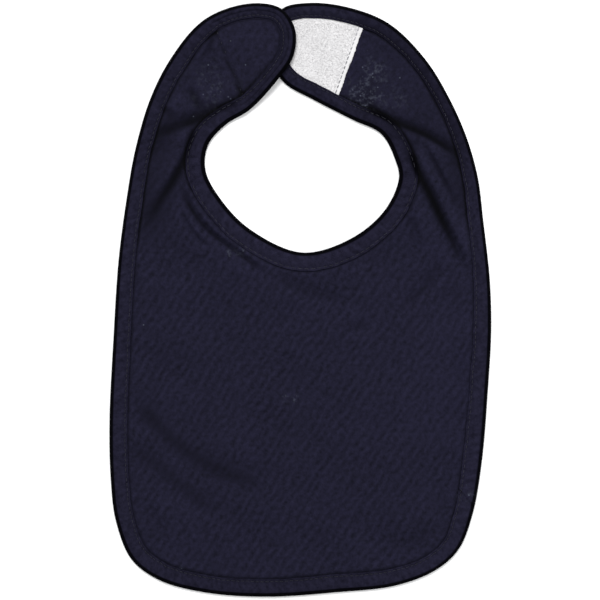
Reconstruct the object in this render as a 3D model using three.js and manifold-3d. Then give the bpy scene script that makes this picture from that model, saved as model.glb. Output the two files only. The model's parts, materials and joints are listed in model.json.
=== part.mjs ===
// An infant's bib of cotton jersey, lying flat with its front up and its neck fastening closed.
// Two plies of jersey are bound all round by one folded strip, and a hook patch under the left tab
// grips a loop patch on the right tab. Millimetres, +Z up, +X to the right, +Y towards the neck.
// The straps are cut from the body across the shoulders, and the left tab from its strap, because
// the cloth bends there.
import * as THREE from "three";
import { mergeVertices } from "three/addons/utils/BufferGeometryUtils.js";
import Module from "manifold-3d";

const wasm = await Module();
wasm.setup();

// Driving dimensions.
const CLOTH = 0.5; // one thickness of jersey, in the plies and in the binding
const LAYER_GAP = 0.15; // clearance between layers that lie on each other
const BINDING_WIDTH = 9; // 3/8 inch binding, measured from the folded edge inwards
const PLY_INSET = 1.2; // from the folded edge to the cut edge of the plies inside it
const PATCH_THICKNESS = 0.8; // woven hook or loop tape
const PATCH_INSET = 4; // from the folded edge to the patch edge tucked under the binding
const THREAD_WIDTH = 0.5;
const THREAD_HEIGHT = 0.25;
const THREAD_GAP = 0.05;
const STITCH_INSET = 7.7; // from the folded edge to the row of topstitching
const PATCH_STITCH_INSET = 2.5; // from a patch's cut edge to the stitching that holds it
const SHOULDER_Y = 72; // the line across both shoulders where the straps bend
const BEND_GAP = 0.4; // between the pieces on the two sides of a bend
const LEFT_TILT_DEG = 4.3; // the left strap rises by this to lie over the right tab
const STEP = 6; // length of one straight facet along an edge
const REACH = 600; // larger than the bib, for the blocks that pieces are cut with

// The folded edge, anticlockwise seen from the front, as points on one closed smooth curve.
const LEFT_SIDE = [
  [-24, 170.3], [-42.5, 167.3], [-58.5, 158.5], [-75, 138], [-86.5, 115], [-95, 86],
  [-100, 57.5], [-104.5, 23], [-107.5, -23], [-109.7, -69], [-109, -103], [-106, -127],
];
const BOTTOM = [
  [-97, -149], [-81, -161], [-55, -168], [-20, -170.5], [20, -168], [55, -164], [78, -155],
];
const RIGHT_SIDE = [
  [91, -143], [99, -122.5], [104.3, -92], [107.8, -50], [109.6, -17], [108.8, 11.5], [105, 46],
  [102, 70], [96, 92], [86, 115], [72, 138], [51, 158.7], [28, 168], [5, 170.7],
];
const RIGHT_TAB = [[-11, 167], [-19.5, 150], [-17, 137], [-9, 124.5]];
const NECK = [
  [7.5, 115], [30, 103.5], [46.5, 95.3], [54.3, 81], [56.5, 70], [48.5, 51.7], [29, 35.3],
  [1, 27.3], [-28.5, 40.3], [-45.5, 57.5], [-54.5, 74.5], [-53, 89], [-43, 100.6], [-29, 109.3],
];
const LEFT_TAB = [[-13, 126.3], [-4.2, 139.5], [-3, 155], [-10.5, 166.7]];

// Lines that pieces end on, each by a point on it and the direction square to it, away from the body.
const SHOULDER_LINE = { point: [0, SHOULDER_Y], ahead: [0, 1] };
const HOOK_PATCH_LINE = { point: [-45, 137], ahead: [0.92, 0.392] };
const PEEL_LINE = { point: [-48, 135.7], ahead: [0.92, 0.392] };
const LOOP_PATCH_LINE = { point: [28.4, 137.5], ahead: [-0.947, 0.321] };

// Looks of the real materials.
const JERSEY = { color: 0x211f2e, roughness: 0.95 };
const BINDING_CLOTH = { color: 0x1d1c2a, roughness: 0.95 };
const NAVY_THREAD = { color: 0x34344a, roughness: 0.7 };
const LOOP_TAPE = { color: 0xe0e0e4, roughness: 0.9 };
const HOOK_TAPE = { color: 0xd6d6da, roughness: 0.6 };
const GREY_THREAD = { color: 0x8a8a92, roughness: 0.7 };

// Where each run of points starts in the closed curve, in key points from the first.
const BOTTOM_START = LEFT_SIDE.length;
const RIGHT_START = BOTTOM_START + BOTTOM.length;
const RIGHT_TAB_START = RIGHT_START + RIGHT_SIDE.length;
const NECK_START = RIGHT_TAB_START + RIGHT_TAB.length;
const LEFT_TAB_START = NECK_START + NECK.length;
const KEY_POINTS = [...LEFT_SIDE, ...BOTTOM, ...RIGHT_SIDE, ...RIGHT_TAB, ...NECK, ...LEFT_TAB];

const foldedEdge = new THREE.CatmullRomCurve3(
  KEY_POINTS.map(([x, y]) => new THREE.Vector3(x, y, 0)),
  true,
  "centripetal",
);

// Part of the folded edge, from one key point to another, going on past the last into the first.
class EdgeRun extends THREE.Curve {
  constructor(from, to) {
    super();
    this.from = from;
    this.to = to;
  }
  getPoint(t, target = new THREE.Vector3()) {
    const key = this.from + (this.to - this.from) * t;
    return foldedEdge.getPoint((key / KEY_POINTS.length) % 1, target);
  }
}

const WRAP = KEY_POINTS.length; // add to a key point's number after passing the first one again
// Each run passes the line that its pieces are trimmed on by one or two key points.
const bodySideRun = new EdgeRun(5, RIGHT_START + 8);
const neckRun = new EdgeRun(NECK_START + 3, NECK_START + 11);
const leftOuterRun = new EdgeRun(0, 7);
const leftInnerRun = new EdgeRun(NECK_START + 9, LEFT_TAB_START);
const leftTabRun = new EdgeRun(NECK_START + 11, WRAP + 4);
const leftWholeRun = new EdgeRun(NECK_START + 9, WRAP + 7);
const rightWholeRun = new EdgeRun(RIGHT_START + 6, NECK_START + 6);
const rightTabRun = new EdgeRun(RIGHT_START + 11, NECK_START + 3);

// The heights of the layers from the resting face up. A patch lies over the front ply on the
// right strap and under the back ply on the left one, and the binding there is that much deeper.
function stackLayers(names) {
  const layers = {};
  let height = 0;
  for (const name of names) {
    const thickness = name.endsWith("Patch") ? PATCH_THICKNESS : CLOTH;
    layers[name] = [height, height + thickness];
    height += thickness + LAYER_GAP;
  }
  return layers;
}
const BODY_LAYERS = stackLayers(["under", "backPly", "frontPly", "over"]);
const RIGHT_LAYERS = stackLayers(["under", "backPly", "frontPly", "loopPatch", "over"]);
const LEFT_LAYERS = stackLayers(["under", "hookPatch", "backPly", "frontPly", "over"]);
const HINGE_Z = RIGHT_LAYERS.over[1] + 0.1; // bends turn about their upper surface

function solidFrom(geometry) {
  const bare = geometry.clone();
  bare.deleteAttribute("normal");
  bare.deleteAttribute("uv");
  const merged = mergeVertices(bare, 1e-4);
  return new wasm.Manifold(
    new wasm.Mesh({
      numProp: 3,
      vertProperties: merged.attributes.position.array,
      triVerts: new Uint32Array(merged.index.array),
    }),
  );
}

function geometryFrom(solid) {
  const mesh = solid.getMesh();
  const geometry = new THREE.BufferGeometry();
  geometry.setAttribute("position", new THREE.BufferAttribute(mesh.vertProperties, 3));
  geometry.setIndex(new THREE.BufferAttribute(mesh.triVerts, 1));
  geometry.computeVertexNormals();
  return geometry;
}

// A block that fills the space on one side of a line, side 1 ahead of it and side -1 behind it.
function blockBeside(line, side) {
  const [x, y] = line.point;
  const angle = Math.atan2(line.ahead[1], line.ahead[0]);
  const block = new THREE.BoxGeometry(REACH, REACH, REACH);
  block.translate((side * (REACH + BEND_GAP)) / 2, 0, 0);
  block.rotateZ(angle);
  block.translate(x, y, 0);
  return block;
}

function trim(geometry, ...blocks) {
  const cut = blocks.reduce(
    (solid, block) => solid.intersect(solidFrom(block)),
    solidFrom(geometry),
  );
  return geometryFrom(cut);
}

function stepsAlong(run) {
  return Math.round(run.getLength() / STEP);
}

// Sweeps a section along a run. A corner is [distance in from the folded edge, height].
function sweep(run, corners) {
  const section = new THREE.Shape(corners.map(([inset, z]) => new THREE.Vector2(-z, inset)));
  return new THREE.ExtrudeGeometry(section, { steps: stepsAlong(run), extrudePath: run });
}

// The binding strip, folded over the edge of everything between its two flanges.
function foldedBinding(run, layers) {
  const top = layers.over[1];
  return sweep(run, [
    [0, 0],
    [BINDING_WIDTH, 0],
    [BINDING_WIDTH, CLOTH],
    [CLOTH, CLOTH],
    [CLOTH, top - CLOTH],
    [BINDING_WIDTH, top - CLOTH],
    [BINDING_WIDTH, top],
    [0, top],
  ]);
}

// A row of topstitching on the upper flange.
function topstitching(run, layers) {
  const bottom = layers.over[1] + THREAD_GAP;
  const near = STITCH_INSET - THREAD_WIDTH / 2;
  const far = STITCH_INSET + THREAD_WIDTH / 2;
  return sweep(run, [
    [near, bottom],
    [far, bottom],
    [far, bottom + THREAD_HEIGHT],
    [near, bottom + THREAD_HEIGHT],
  ]);
}

// Points along a run, moved in from the folded edge.
function insetPoints(run, inset) {
  const steps = stepsAlong(run);
  return Array.from({ length: steps + 1 }, (_, i) => {
    const point = run.getPointAt(i / steps);
    const tangent = run.getTangentAt(i / steps);
    return new THREE.Vector2(point.x - tangent.y * inset, point.y + tangent.x * inset);
  });
}

// A flat layer whose outline is the given points, filling one layer's height.
function sheetLayer(points, [bottom, top]) {
  const sheet = new THREE.ExtrudeGeometry(new THREE.Shape(points), {
    depth: top - bottom,
    bevelEnabled: false,
  });
  return sheet.translate(0, 0, bottom);
}

// A straight row of stitching across a strap, set back from a patch's cut edge.
function patchStitching(line, tabRun, bottom) {
  const [x, y] = line.point;
  const [ax, ay] = line.ahead;
  const row = new THREE.BoxGeometry(THREAD_WIDTH, REACH, THREAD_HEIGHT);
  row.rotateZ(Math.atan2(ay, ax));
  row.translate(
    x + ax * PATCH_STITCH_INSET,
    y + ay * PATCH_STITCH_INSET,
    bottom + THREAD_HEIGHT / 2,
  );
  const clearOfBinding = insetPoints(tabRun, BINDING_WIDTH + 2 * LAYER_GAP);
  return trim(row, sheetLayer(clearOfBinding, [0, HINGE_Z]));
}

function addPiece(group, name, geometry, look) {
  const mesh = new THREE.Mesh(geometry, new THREE.MeshStandardMaterial({ metalness: 0, ...look }));
  mesh.name = name;
  group.add(mesh);
}

const beyondShoulder = blockBeside(SHOULDER_LINE, 1);
const belowShoulder = blockBeside(SHOULDER_LINE, -1);
const beyondPeel = blockBeside(PEEL_LINE, 1);
const beforePeel = blockBeside(PEEL_LINE, -1);

function makeBody() {
  const group = new THREE.Group();
  const outline = [...insetPoints(bodySideRun, PLY_INSET), ...insetPoints(neckRun, PLY_INSET)];
  const ply = (layer) => trim(sheetLayer(outline, layer), belowShoulder);
  addPiece(group, "body_front_ply", ply(BODY_LAYERS.frontPly), JERSEY);
  addPiece(group, "body_back_ply", ply(BODY_LAYERS.backPly), JERSEY);
  const edges = [["body_outer", bodySideRun], ["body_neck", neckRun]];
  for (const [name, run] of edges) {
    const binding = trim(foldedBinding(run, BODY_LAYERS), belowShoulder);
    const stitching = trim(topstitching(run, BODY_LAYERS), belowShoulder);
    addPiece(group, `${name}_binding`, binding, BINDING_CLOTH);
    addPiece(group, `${name}_stitching`, stitching, NAVY_THREAD);
  }
  return group;
}

function makeRightStrap() {
  const group = new THREE.Group();
  const outline = insetPoints(rightWholeRun, PLY_INSET);
  const ply = (layer) => trim(sheetLayer(outline, layer), beyondShoulder);
  addPiece(group, "right_strap_front_ply", ply(RIGHT_LAYERS.frontPly), JERSEY);
  addPiece(group, "right_strap_back_ply", ply(RIGHT_LAYERS.backPly), JERSEY);
  const binding = trim(foldedBinding(rightWholeRun, RIGHT_LAYERS), beyondShoulder);
  const stitching = trim(topstitching(rightWholeRun, RIGHT_LAYERS), beyondShoulder);
  addPiece(group, "right_strap_binding", binding, BINDING_CLOTH);
  addPiece(group, "right_strap_stitching", stitching, NAVY_THREAD);
  const tabOutline = insetPoints(rightTabRun, PATCH_INSET);
  const patch = trim(sheetLayer(tabOutline, RIGHT_LAYERS.loopPatch), blockBeside(LOOP_PATCH_LINE, 1));
  const patchThread = RIGHT_LAYERS.loopPatch[1] + THREAD_GAP;
  addPiece(group, "loop_patch", patch, LOOP_TAPE);
  addPiece(
    group,
    "loop_patch_stitching",
    patchStitching(LOOP_PATCH_LINE, rightTabRun, patchThread),
    GREY_THREAD,
  );
  return group;
}

function makeLeftStrap() {
  const group = new THREE.Group();
  const outline = insetPoints(leftWholeRun, PLY_INSET);
  const ply = (layer) => trim(sheetLayer(outline, layer), beyondShoulder, beforePeel);
  addPiece(group, "left_strap_front_ply", ply(LEFT_LAYERS.frontPly), JERSEY);
  addPiece(group, "left_strap_back_ply", ply(LEFT_LAYERS.backPly), JERSEY);
  const edges = [["left_strap_outer", leftOuterRun], ["left_strap_inner", leftInnerRun]];
  for (const [name, run] of edges) {
    const binding = trim(foldedBinding(run, LEFT_LAYERS), beyondShoulder, beforePeel);
    const stitching = trim(topstitching(run, LEFT_LAYERS), beyondShoulder, beforePeel);
    addPiece(group, `${name}_binding`, binding, BINDING_CLOTH);
    addPiece(group, `${name}_stitching`, stitching, NAVY_THREAD);
  }
  return group;
}

function makeLeftTab() {
  const group = new THREE.Group();
  const outline = insetPoints(leftTabRun, PLY_INSET);
  const ply = (layer) => trim(sheetLayer(outline, layer), beyondPeel);
  addPiece(group, "left_tab_front_ply", ply(LEFT_LAYERS.frontPly), JERSEY);
  addPiece(group, "left_tab_back_ply", ply(LEFT_LAYERS.backPly), JERSEY);
  const binding = trim(foldedBinding(leftTabRun, LEFT_LAYERS), beyondPeel);
  const stitching = trim(topstitching(leftTabRun, LEFT_LAYERS), beyondPeel);
  addPiece(group, "left_tab_binding", binding, BINDING_CLOTH);
  addPiece(group, "left_tab_stitching", stitching, NAVY_THREAD);
  const patchOutline = insetPoints(leftTabRun, PATCH_INSET);
  const patch = trim(sheetLayer(patchOutline, LEFT_LAYERS.hookPatch), blockBeside(HOOK_PATCH_LINE, 1));
  const patchThread = LEFT_LAYERS.hookPatch[0] - THREAD_GAP - THREAD_HEIGHT;
  addPiece(group, "hook_patch", patch, HOOK_TAPE);
  addPiece(
    group,
    "hook_patch_stitching",
    patchStitching(HOOK_PATCH_LINE, leftTabRun, patchThread),
    GREY_THREAD,
  );
  return group;
}

// The left strap and its tab turn together about the shoulder line to their place over the right tab.
function tiltAboutShoulder(...groups) {
  const pivot = new THREE.Group();
  pivot.position.set(0, SHOULDER_Y, HINGE_Z);
  pivot.rotation.x = THREE.MathUtils.degToRad(LEFT_TILT_DEG);
  for (const group of groups) {
    group.position.set(0, -SHOULDER_Y, -HINGE_Z);
    pivot.add(group);
  }
  return pivot;
}

const bib = new THREE.Group();
bib.add(makeBody(), makeRightStrap(), tiltAboutShoulder(makeLeftStrap(), makeLeftTab()));

// The origin is the middle of the bib on the surface it lies on.
const extent = new THREE.Box3().setFromPoints(foldedEdge.getPoints(REACH));
const middle = extent.getCenter(new THREE.Vector3());
bib.position.set(-middle.x, -middle.y, 0);

export default bib;
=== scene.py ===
"""The looks of a navy cotton-jersey infant bib, laid flat with its front up and its fastening closed.

The bib is worked out in millimetres in the CAD model's frame, as layers of cloth stacked on each
other, and each mesh is made from that in metres.
"""
import json
import math

import bpy
import numpy as np
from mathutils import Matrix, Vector
from mathutils.geometry import delaunay_2d_cdt


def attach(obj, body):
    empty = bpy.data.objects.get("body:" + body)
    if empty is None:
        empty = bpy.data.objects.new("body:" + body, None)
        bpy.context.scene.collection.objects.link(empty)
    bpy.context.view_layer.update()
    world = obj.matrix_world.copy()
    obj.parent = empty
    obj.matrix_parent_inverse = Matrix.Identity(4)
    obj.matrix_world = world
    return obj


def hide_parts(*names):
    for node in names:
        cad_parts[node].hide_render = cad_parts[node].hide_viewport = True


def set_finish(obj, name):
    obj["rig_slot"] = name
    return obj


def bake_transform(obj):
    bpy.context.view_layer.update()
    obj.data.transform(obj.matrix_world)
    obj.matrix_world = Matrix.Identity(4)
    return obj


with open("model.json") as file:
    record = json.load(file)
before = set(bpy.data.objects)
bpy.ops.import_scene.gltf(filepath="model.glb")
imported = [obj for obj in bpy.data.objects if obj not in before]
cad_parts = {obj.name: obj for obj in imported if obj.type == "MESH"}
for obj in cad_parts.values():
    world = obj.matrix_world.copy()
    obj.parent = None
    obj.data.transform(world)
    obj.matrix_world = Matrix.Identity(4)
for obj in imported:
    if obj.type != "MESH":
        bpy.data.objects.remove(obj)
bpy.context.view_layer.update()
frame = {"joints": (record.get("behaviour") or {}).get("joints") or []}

MM = 0.001  # one millimetre in scene units
SEED = 11

# ---------------- sizes, in millimetres
CLOTH = 0.5  # one thickness of jersey
BINDING_WIDTH = 9.0
PLY_INSET = 1.2  # from the folded edge to the plies' cut edge inside the binding
PATCH_INSET = 4.0  # from the folded edge to the patch edge tucked under the binding
STITCH_INSET = 7.7  # from the folded edge to the topstitching
GROOVE_INSET = 9.4  # to the groove beside the binding, where shade is painted
PUCKER_INSET = 11.5  # to the puckers beyond it
STITCH_PITCH = 2.9
STATIONS_PER_STITCH = 4
TAPE = 0.75  # thickness of the hook and loop tapes without their pile
GAP = 0.03  # between layers that lie on each other
HOOK_LENGTH = 0.4
LOOP_HEIGHT = 0.38
LOOP_SPACING = 0.9
TABLE_GAP = 0.04
EDGE_LIFT = 0.85  # the binding's lower flange holds the back ply this far up at the edge
EDGE_SAG = 14.0  # and the ply comes down to the table over this distance
LAP_HEIGHT = 2.9  # the left tab lies on the right one at this height
LAP_RUN = 27.0  # and comes down from it over this distance
PEEL_BEND = 26.0  # length of cloth that bends when the left tab peels
STRAP_BEND = 33.0  # length of cloth that bends when a strap lifts
HOOK_STITCH_INSET = 3.0  # from the tape's cut edge to the row of stitches beside it
LOOP_STITCH_INSET = 2.2
TAPE_CLIMB = 9.0  # the binding climbs onto the loop tape over this distance
HOOK_CLIMB = 6.0  # and the left strap rises to make room for the hook tape over this one

# The folded edge, anticlockwise from the top of the left tab, as points on a closed smooth curve.
LEFT_SIDE = [
    (-24, 170.3), (-42.5, 167.3), (-58.5, 158.5), (-75, 138), (-86.5, 115), (-95, 86),
    (-100, 57.5), (-104.5, 23), (-107.5, -23), (-109.7, -69), (-109, -103), (-106, -127),
]
BOTTOM = [(-97, -149), (-81, -161), (-55, -168), (-20, -170.5), (20, -168), (55, -164), (78, -155)]
RIGHT_SIDE = [
    (91, -143), (99, -122.5), (104.3, -92), (107.8, -50), (109.6, -17), (108.8, 11.5), (105, 46),
    (102, 70), (96, 92), (86, 115), (72, 138), (51, 158.7), (28, 168), (5, 170.7),
]
RIGHT_TAB = [(-11, 167), (-19.5, 150), (-17, 137), (-9, 124.5)]
NECK = [
    (7.5, 115), (30, 103.5), (46.5, 95.3), (54.3, 81), (56.5, 70), (48.5, 51.7), (29, 35.3),
    (1, 27.3), (-28.5, 40.3), (-45.5, 57.5), (-54.5, 74.5), (-53, 89), (-43, 100.6), (-29, 109.3),
]
LEFT_TAB = [(-13, 126.3), (-4.2, 139.5), (-3, 155), (-10.5, 166.7)]
KEY_POINTS = LEFT_SIDE + BOTTOM + RIGHT_SIDE + RIGHT_TAB + NECK + LEFT_TAB
# The key points at the hem and at the neck where the edge's right half begins and ends.
RIGHT_HALF = (len(LEFT_SIDE) + 3, len(LEFT_SIDE + BOTTOM + RIGHT_SIDE + RIGHT_TAB) + 7)

# The binding's width wanders, as sewn: a point near the folded edge, and the width there.
BINDING_WIDTHS = [
    (-42, 167, 9.0), (-73, 141, 10.0), (-95, 86, 9.0), (-104, 30, 9.5), (-109, -69, 10.3), (-97, -149, 10.5),
    (-35, -170, 9.9), (20, -168, 10.4), (78, -155, 9.6), (104, -95, 11.1), (109, -10, 10.2), (108, 22, 9.0),
    (102, 70, 8.5), (90, 107, 7.7), (71, 139, 8.1), (51, 158, 9.0), (30, 103.5, 8.8), (46, 96, 9.5),
    (56, 76, 10.8), (29, 35, 11.1), (1, 27, 10.7), (-28, 40, 11.0), (-54, 74, 11.1), (-53, 89, 10.9),
    (-36, 105, 9.5), (-13, 126, 9.0),
]

JOIN_POINT = (94.6, -114.4)  # where the binding's two ends meet
JOIN_LAP = 14.0  # and how far one laps over the other
JOIN_SLANT = 0.8  # of the end's cut, along the strip for each millimetre across it
PAINTED_LIGHT_POINT = (85.0, -45.0)  # the middle of a pool of painted light on the cloth
PAINTED_LIGHT_REACH = 40.0
NECK_POINT = (0.0, 27.0)  # the middle of the palest part of the binding

# Lines across a strap: a point on each, and the direction square to it, away from the body.
HOOK_LINE = ((-45, 137), (0.92, 0.392))
LOOP_LINE = ((29.4, 137.2), (-0.947, 0.321))

# Where lint clings: a point, how far it spreads, and how thickly it lies.
LINT = [
    (-50, 122, 16, 0.23), (38, 121, 10, 0.85), (42, 132, 8, 0.40), (54, 116, 8, 0.25),
    (-33, 27, 5, 0.3), (-41, 26.5, 2, 0.7), (35, -140, 7, 0.10), (-9, -56, 1.8, 0.9),
    (-2.5, -56.5, 1.8, 0.9), (96, -112.5, 4, 1.8), (-68, -153.5, 1.6, 1.0),
]

# Creases: points along the valley, side of the ridge (1 is left of the way the points run), height
# of the ridge, depth of the valley, width across, and the share of its length where each end fades.
CREASES = [
    ([(62, 89), (67, 75), (74.5, 61), (81.5, 46), (89, 30), (95, 14)], 1, 3.6, 3.0, 4.2, 0.14, 0.20),
    ([(68, 93), (76, 80), (84, 65), (92, 48)], 1, 1.1, 1.5, 2.6, 0.25, 0.45),
    ([(37, 112), (48, 105), (58, 100.5), (73, 94), (93, 81)], -1, 2.1, 2.1, 3.2, 0.10, 0.16),
    ([(-60, 102), (-65.5, 84), (-73.5, 68.5), (-83.5, 53), (-91, 35)], -1, 2.7, 1.8, 3.4, 0.12, 0.6),
    ([(-33, 113), (-45, 109.5), (-57, 104.5), (-70, 99), (-90, 92.5)], 1, 2.0, 1.5, 4.6, 0.16, 0.35),
    ([(-69, 66), (-61.5, 50.5), (-53, 40), (-42, 31.5), (-31, 23.5), (-17, 11.5)],
     1, 1.8, 3.4, 2.7, 0.2, 0.2),
    ([(-71, 55), (-65, 44), (-57.5, 34), (-47, 27)], 1, 1.0, 1.4, 2.4, 0.35, 0.45),
    ([(83, 30), (76, 13), (66, 2), (50, -9)], 1, 0.8, 2.4, 4.2, 0.35, 0.3),
    ([(60, 52), (65, 40), (67, 25)], 1, 0.4, 1.5, 4.6, 0.4, 0.4),
    ([(44, -12), (26, -18)], 1, 0.6, 2.4, 4.2, 0.4, 0.4),
    ([(-95, -56), (-84, -70), (-69, -84), (-50, -96), (-26, -105), (-14, -107)],
     -1, 0.4, 2.7, 11.5, 0.14, 0.34),
    ([(-98, -83), (-84.5, -93), (-69, -106), (-52, -119), (-34, -129)], -1, 0.3, 2.3, 10.5, 0.12, 0.35),
    ([(-90, -113), (-78, -136)], 1, 0.4, 1.0, 5.0, 0.4, 0.4),
    ([(-20, 14), (4, 5), (34, -2)], -1, 0.4, 1.7, 5.0, 0.3, 0.3),
    ([(50, -143), (68, -137), (86, -125)], 1, 0.3, 1.0, 8.0, 0.4, 0.4),
    ([(-49, 157), (-54, 137)], 1, 1.2, 1.7, 3.4, 0.4, 0.4),
    ([(-65, 124), (-57, 108)], 1, 1.0, 2.4, 4.0, 0.35, 0.35),
    ([(-81, 112), (-71, 103)], 1, 0.6, 1.5, 3.6, 0.4, 0.4),
]
MAIN_CREASES = 5  # the first of them, where the straps buckle
# The ridges beside a crease, in its widths across: place, share of its height, and how far the ridge
# spreads on each side.
RIDGES = [(0.85, 1.0, 0.55, 1.9), (-1.7, 0.75, 2.4, 1.0)]
VALLEY_SPREAD = 0.6

# Wavelengths of unevenness in the cloth.
BACK_WAVES = (47, 61, 83, 38)
SLACK_WAVES = (33, 52, 71, 27, 90)
RIPPLE_WAVES = (9, 12, 15, 19, 11)
PUCKER_WAVES = (4.3, 5.1, 6.2, 3.7)  # beside the binding
HOOK_SEAM_WAVES = (17, 23, 31)
TAPE_WAVES = (2.6, 3.3, 4.1, 5.7, 2.1)
CUT_WAVES = (5, 8, 13)


# ---------------- small helpers
def smooth(x):
    x = np.clip(x, 0.0, 1.0)
    return x * x * (3.0 - 2.0 * x)


def bell(x):
    """1 at zero, falling away to 0 on both sides."""
    return np.exp(-(x**2))


def round_place(points, place, reach):
    """1 at a place, falling away to 0 all round it."""
    return bell(np.linalg.norm(points - place, axis=1) / reach)


def above_zero(x, softness):
    """x where it is well above zero, easing to zero below it."""
    return 0.5 * (x + np.sqrt(x * x + softness * softness))


def unit(v):
    return v / np.maximum(np.linalg.norm(v, axis=-1, keepdims=True), 1e-12)


def lifted(places, z):
    """Points at heights z over places on the table."""
    return np.concatenate([places, np.reshape(z, places.shape[:-1])[..., None]], -1)


def between(a, b, spacing):
    """Points about spacing apart on the line from a to b, without its ends."""
    count = round(np.linalg.norm(b - a) / spacing)
    return a + (b - a) * (np.arange(1, count) / count)[:, None]


def ahead(points, line):
    """How far points are ahead of a line, in millimetres."""
    (x, y), (ax, ay) = line
    return (points[..., 0] - x) * ax + (points[..., 1] - y) * ay


def waves(points, wavelengths, amplitude, seed):
    """Smooth irregular ripples in random directions, about plus or minus amplitude."""
    random = np.random.default_rng(seed)
    total = np.zeros(points.shape[:-1])
    for wavelength in wavelengths:
        angle, phase = random.uniform(0, math.tau, 2)
        across = points[..., 0] * math.cos(angle) + points[..., 1] * math.sin(angle)
        total += np.sin(math.tau * across / wavelength + phase)
    return total * amplitude / math.sqrt(len(wavelengths))


def curve_through(points, closed, per_span):
    """A centripetal Catmull-Rom curve through points, with per_span samples from each to the next."""
    keys = np.array(points, float)
    before, after = (keys[-1], keys[:2]) if closed else (2 * keys[0] - keys[1], 2 * keys[-1] - keys[-2])
    keys = np.vstack([before, keys, after])
    spans = len(keys) - 3
    u = np.arange(spans * per_span + (not closed)) / per_span
    span = np.minimum(u.astype(int), spans - 1)
    w = (u - span)[:, None]
    p0, p1, p2, p3 = (keys[span + step] for step in range(4))
    d0, d1, d2 = (np.linalg.norm(b - a, axis=1)[:, None] ** 0.5 for a, b in ((p0, p1), (p1, p2), (p2, p3)))
    t1 = ((p1 - p0) / d0 - (p2 - p0) / (d0 + d1) + (p2 - p1) / d1) * d1
    t2 = ((p2 - p1) / d1 - (p3 - p1) / (d1 + d2) + (p3 - p2) / d2) * d1
    return p1 + t1 * w + (3 * (p2 - p1) - 2 * t1 - t2) * w**2 + (2 * (p1 - p2) + t1 + t2) * w**3


def nearest(points, line, chunk=1000):
    """Index of the sample of line nearest to each point, and its distance."""
    index = np.empty(len(points), int)
    length = (line**2).sum(1) / 2
    for start in range(0, len(points), chunk):
        index[start:start + chunk] = (length - points[start:start + chunk] @ line.T).argmin(1)
    return index, np.linalg.norm(points - line[index], axis=1)


# ---------------- the folded edge
EDGE_SAMPLES_PER_SPAN = 80
edge = curve_through(KEY_POINTS, True, EDGE_SAMPLES_PER_SPAN)
middle = (edge.min(0) + edge.max(0)) / 2  # the frame's origin is the middle of the outline
edge -= middle
edge_s = np.concatenate([[0], np.cumsum(np.linalg.norm(np.roll(edge, -1, 0) - edge, axis=1))])
EDGE_LENGTH = edge_s[-1]
STITCHES = round(EDGE_LENGTH / STITCH_PITCH)
STATIONS = STITCHES * STATIONS_PER_STITCH
SPACING = EDGE_LENGTH / STATIONS


def shift(line):
    (x, y), direction = line
    return (x - middle[0], y - middle[1]), direction


HOOK_LINE, LOOP_LINE = shift(HOOK_LINE), shift(LOOP_LINE)

# The plies part where the joints are: at the shoulders, and where the left tab peels.
joints = {joint["name"]: joint for joint in frame["joints"]}
SHOULDER_Y = joints["left_strap_lift"]["pos_m"][1] / MM
peel_point = [v / MM for v in joints["left_tab_peel"]["pos_m"][:2]]
peel_axis = joints["left_tab_peel"]["axis"]
PEEL_LINE = (peel_point, (-peel_axis[1], peel_axis[0]))


def edge_at(s):
    """Points on the folded edge at distances s along it."""
    closed = np.vstack([edge, edge[:1]])
    s = np.mod(s, EDGE_LENGTH)
    return np.stack([np.interp(s, edge_s, closed[:, 0]), np.interp(s, edge_s, closed[:, 1])], -1)


def inward_at(s, reach=0.8):
    """The direction into the cloth, square to the folded edge."""
    along = unit(edge_at(s + reach) - edge_at(s - reach))
    return np.stack([-along[..., 1], along[..., 0]], -1)


station_s = np.arange(STATIONS) * SPACING
station_point = edge_at(station_s)
station_inward = inward_at(station_s)
right_from, right_to = (edge_s[k * EDGE_SAMPLES_PER_SPAN] for k in RIGHT_HALF)
is_right = (station_s > right_from) & (station_s < right_to)


def widths_round_loop():
    """The binding's width at every station, eased from one of BINDING_WIDTHS to the next."""
    places = np.array(BINDING_WIDTHS)
    near = nearest(places[:, :2] - middle, station_point)[0]
    order = np.argsort(near)
    width = np.interp(np.arange(STATIONS), near[order], places[order, 2], period=STATIONS)
    window = np.hanning(2 * round(12.0 / SPACING) + 1)
    reach = len(window) // 2
    padded = np.concatenate([width[-reach:], width, width[:reach]])
    return np.convolve(padded, window / window.sum(), "valid")


station_width = widths_round_loop()

# Stations where the pieces part: where the plies' edge crosses the shoulder and the peel line.
ply_edge = station_point + station_inward * PLY_INSET


def crossings(value):
    return [int(i) for i in np.nonzero(np.sign(value) != np.sign(np.roll(value, -1)))[0]]


LEFT_OUTER, RIGHT_OUTER, RIGHT_INNER, LEFT_INNER = crossings(ply_edge[:, 1] - SHOULDER_Y)
peel_crossings = crossings(ahead(ply_edge, PEEL_LINE))
PEEL_OUTER, PEEL_INNER = peel_crossings[0], peel_crossings[-1]


# ---------------- how high the cloth lies
crease_lines = [curve_through(np.array(points) - middle, False, 12) for points, *_ in CREASES]


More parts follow.
